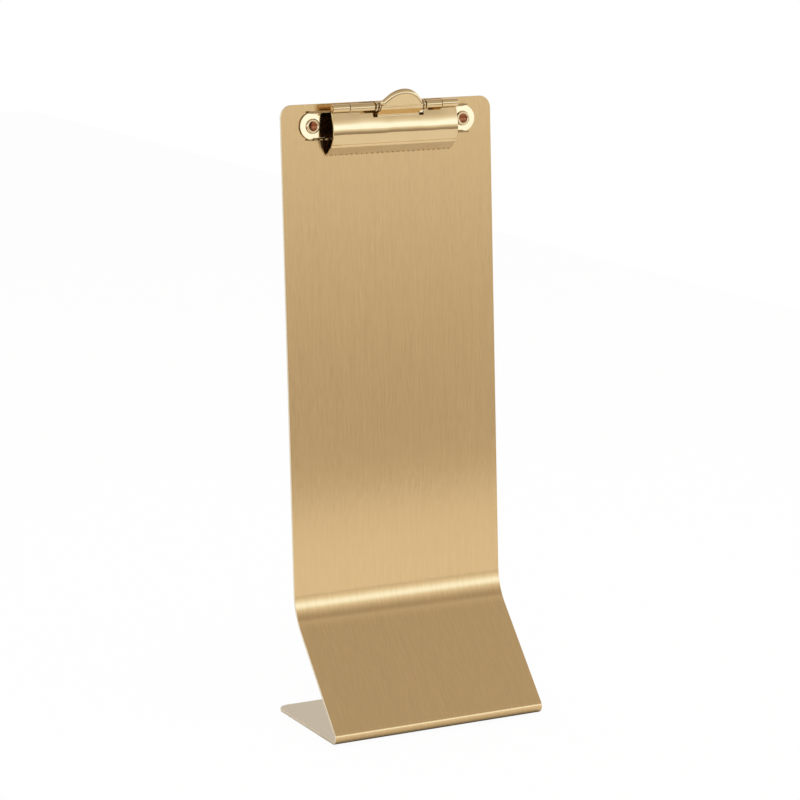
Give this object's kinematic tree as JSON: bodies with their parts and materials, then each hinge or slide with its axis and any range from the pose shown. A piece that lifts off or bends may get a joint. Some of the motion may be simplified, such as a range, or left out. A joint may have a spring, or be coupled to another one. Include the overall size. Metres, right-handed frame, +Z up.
{
  "type": "menu holder",
  "caption": "Free-standing menu holder bent from brushed brass-coloured sheet metal, with a sprung board clip riveted along its top edge to hold a menu.",
  "frame": {"origin": "on the table, at the middle of the footprint", "axes": "+Z up, +Y to the back of the stand, +X across it; the menu faces -Y"},
  "size_m": [0.12, 0.0708, 0.325],
  "materials": {
    "brushed_sheet": "brass-coloured, brushed along the panel",
    "polished_plate": "gold-coloured plating, polished",
    "spring_wire": "gold-coloured plating on drawn wire",
    "rivet_metal": "gold-coloured plating, worn to copper inside the hollow end"
  },
  "bodies": {
    "stand": {"stand_sheet": "brushed_sheet", "clip_base_plate": "polished_plate", "hinge_pin": "polished_plate", "torsion_spring": "spring_wire", "rivet_left": "rivet_metal", "rivet_right": "rivet_metal"},
    "jaw": {"clip_jaw": "polished_plate"}
  },
  "joints": [
    {"name": "jaw_hinge", "type": "hinge", "parent": "stand", "child": "jaw", "pos_m": [0, 0.01555, 0.31621], "axis": [-1, 0, 0], "range_deg": [0, 45], "stiffness_Nm_per_rad": 0.2, "springref_deg": -51.57, "deforming": ["torsion_spring"]}
  ]
}
